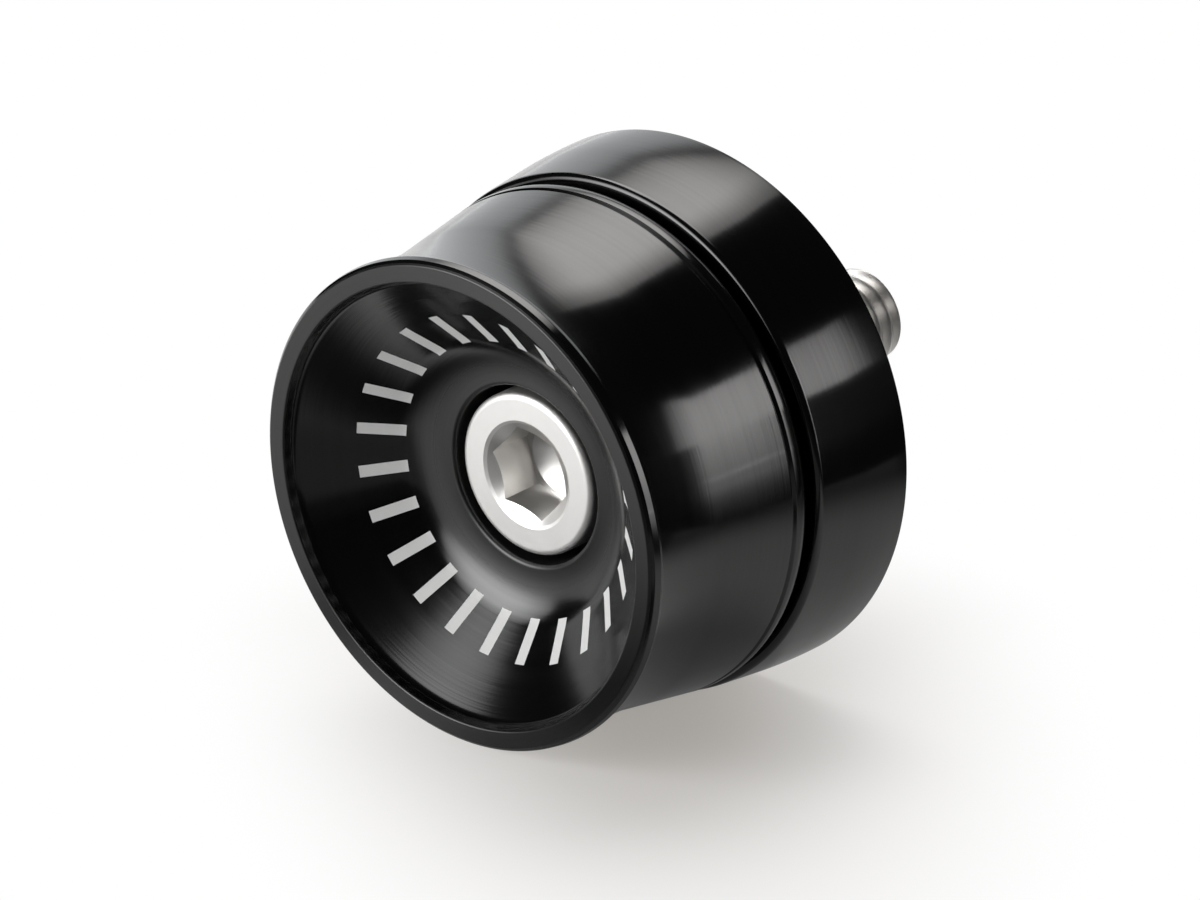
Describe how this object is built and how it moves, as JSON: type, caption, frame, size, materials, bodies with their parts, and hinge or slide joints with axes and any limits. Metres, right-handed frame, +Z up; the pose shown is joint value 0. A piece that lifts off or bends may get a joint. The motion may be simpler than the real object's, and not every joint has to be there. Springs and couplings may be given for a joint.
{
  "type": "bar end weight",
  "caption": "Turned handlebar end weight with a flared body, dished front face, separate rear collar and a socket head screw whose threaded tail enters the bar.",
  "frame": {"origin": "on the part's axis, in the rear face of the collar that seats on the bar end", "axes": "+Y along the axis from the dished front towards the bar, the way the screw's tail points; +Z up"},
  "size_m": [0.033, 0.037, 0.033],
  "materials": {
    "body_anodised": "fine turned, gloss black anodised",
    "collar_anodised": "fine turned, gloss black anodised",
    "screw_stainless": "plain stainless, satin head face"
  },
  "bodies": {
    "root": {"flared_body": "body_anodised", "rear_collar": "collar_anodised", "cap_screw": "screw_stainless"}
  },
  "joints": []
}
